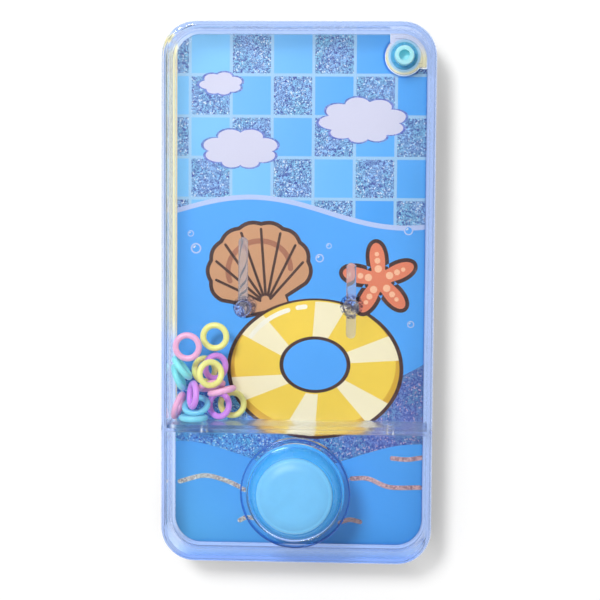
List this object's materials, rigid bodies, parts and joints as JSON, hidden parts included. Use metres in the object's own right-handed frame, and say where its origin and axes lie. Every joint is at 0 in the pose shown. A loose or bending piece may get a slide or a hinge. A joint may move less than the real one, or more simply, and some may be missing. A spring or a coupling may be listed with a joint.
{
  "type": "water ring toss game",
  "caption": "Flat hand-held water game: a clear tank with a printed back, a thumb pump button, jets, loose coloured rings and two catching pegs.",
  "frame": {"origin": "middle of the flat back, at the foot of the bounding box", "axes": "+Z out of the face, +Y toward the top of the game, +X to the right as seen from the front"},
  "size_m": [0.075, 0.149, 0.024],
  "materials": {
    "clear_shell": "clear, glossy",
    "clear_peg": "clear, glossy",
    "cream_clear": "clear with a cream tint",
    "print": "printed film",
    "blue_soft": "soft, translucent",
    "blue_cap": "fine satin",
    "blue_plug": "satin",
    "ring_yellow": "satin",
    "ring_pink": "satin",
    "ring_cyan": "satin",
    "ring_blue": "satin",
    "ring_purple": "satin"
  },
  "bodies": {
    "case": {"front_shell": "clear_shell", "rear_shell": "clear_shell", "filling_pocket": "cream_clear", "print_sheet": "print", "clamp_ring": "clear_shell", "pump_bellows": "blue_soft", "peg_left": "clear_peg", "peg_right": "clear_peg"},
    "button": {"pump_cap": "blue_cap"},
    "stopper": {"fill_plug": "blue_plug"},
    "ring_yellow_top": {"ring_yellow_top": "ring_yellow"},
    "ring_pink_top": {"ring_pink_top": "ring_pink"},
    "ring_cyan_upper": {"ring_cyan_upper": "ring_cyan"},
    "ring_cyan_lower": {"ring_cyan_lower": "ring_cyan"},
    "ring_yellow_back": {"ring_yellow_back": "ring_yellow"},
    "ring_yellow_front": {"ring_yellow_front": "ring_yellow"},
    "ring_purple_back": {"ring_purple_back": "ring_purple"},
    "ring_purple_slim": {"ring_purple_slim": "ring_purple"},
    "ring_pink_wall": {"ring_pink_wall": "ring_pink"},
    "ring_pink_mid": {"ring_pink_mid": "ring_pink"},
    "ring_pink_low": {"ring_pink_low": "ring_pink"},
    "ring_blue_tilted": {"ring_blue_tilted": "ring_blue"},
    "ring_blue_flat": {"ring_blue_flat": "ring_blue"},
    "ring_purple_low": {"ring_purple_low": "ring_purple"},
    "ring_yellow_low": {"ring_yellow_low": "ring_yellow"}
  },
  "joints": [
    {"name": "button_press", "type": "slide", "parent": "case", "child": "button", "axis": [0, 0, -1], "range_m": [0, 0.004], "stiffness_N_per_m": 800, "springref_m": -0.001, "deforming": ["pump_bellows"]},
    {"name": "stopper_pull", "type": "slide", "parent": "case", "child": "stopper", "axis": [0, 0, -1], "range_m": [0, 0.012]},
    {"name": "yellow_top_drift", "type": "slide", "parent": "case", "child": "ring_yellow_top", "axis": [0, 1, 0], "range_m": [0, 0.08]},
    {"name": "pink_top_drift", "type": "slide", "parent": "case", "child": "ring_pink_top", "axis": [0, 1, 0], "range_m": [0, 0.082]},
    {"name": "cyan_upper_spin", "type": "hinge", "parent": "case", "child": "ring_cyan_upper", "pos_m": [-0.03223, -0.02107, 0.01004], "axis": [-0.788, -0.6157, 0], "continuous": true},
    {"name": "cyan_lower_drift", "type": "slide", "parent": "case", "child": "ring_cyan_lower", "axis": [0, 0, 1], "range_m": [0, 0.0032]},
    {"name": "yellow_back_drift", "type": "slide", "parent": "case", "child": "ring_yellow_back", "axis": [0, 1, 0], "range_m": [0, 0.009]},
    {"name": "yellow_front_drift", "type": "slide", "parent": "case", "child": "ring_yellow_front", "axis": [0.7071, 0.7071, 0], "range_m": [0, 0.078]},
    {"name": "purple_back_spin", "type": "hinge", "parent": "case", "child": "ring_purple_back", "pos_m": [-0.02329, -0.02115, 0.0061], "axis": [0.5855, -0.0512, 0.809], "continuous": true},
    {"name": "purple_slim_spin", "type": "hinge", "parent": "case", "child": "ring_purple_slim", "pos_m": [-0.02919, -0.02869, 0.01004], "axis": [-0.9237, 0.0808, 0.3746], "continuous": true},
    {"name": "pink_wall_spin", "type": "hinge", "parent": "case", "child": "ring_pink_wall", "pos_m": [-0.0337, -0.03214, 0.00651], "axis": [0.9385, -0.3231, 0.1219], "continuous": true},
    {"name": "pink_mid_spin", "type": "hinge", "parent": "case", "child": "ring_pink_mid", "pos_m": [-0.02444, -0.02648, 0.00626], "axis": [0.2301, -0.9228, 0.309], "continuous": true},
    {"name": "pink_low_drift", "type": "slide", "parent": "case", "child": "ring_pink_low", "axis": [1, 0, 0], "range_m": [0, 0.052]},
    {"name": "blue_tilted_spin", "type": "hinge", "parent": "case", "child": "ring_blue_tilted", "pos_m": [-0.02862, -0.03205, 0.00684], "axis": [-0.1297, 0.8188, 0.5592], "continuous": true},
    {"name": "blue_flat_spin", "type": "hinge", "parent": "case", "child": "ring_blue_flat", "pos_m": [-0.02919, -0.03525, 0.00881], "axis": [0, -1, 0], "continuous": true},
    {"name": "purple_low_spin", "type": "hinge", "parent": "case", "child": "ring_purple_low", "pos_m": [-0.02231, -0.03205, 0.00503], "axis": [-0.4724, 0.1091, 0.8746], "continuous": true},
    {"name": "yellow_low_drift", "type": "slide", "parent": "case", "child": "ring_yellow_low", "axis": [1, 0, 0], "range_m": [0, 0.049]}
  ]
}
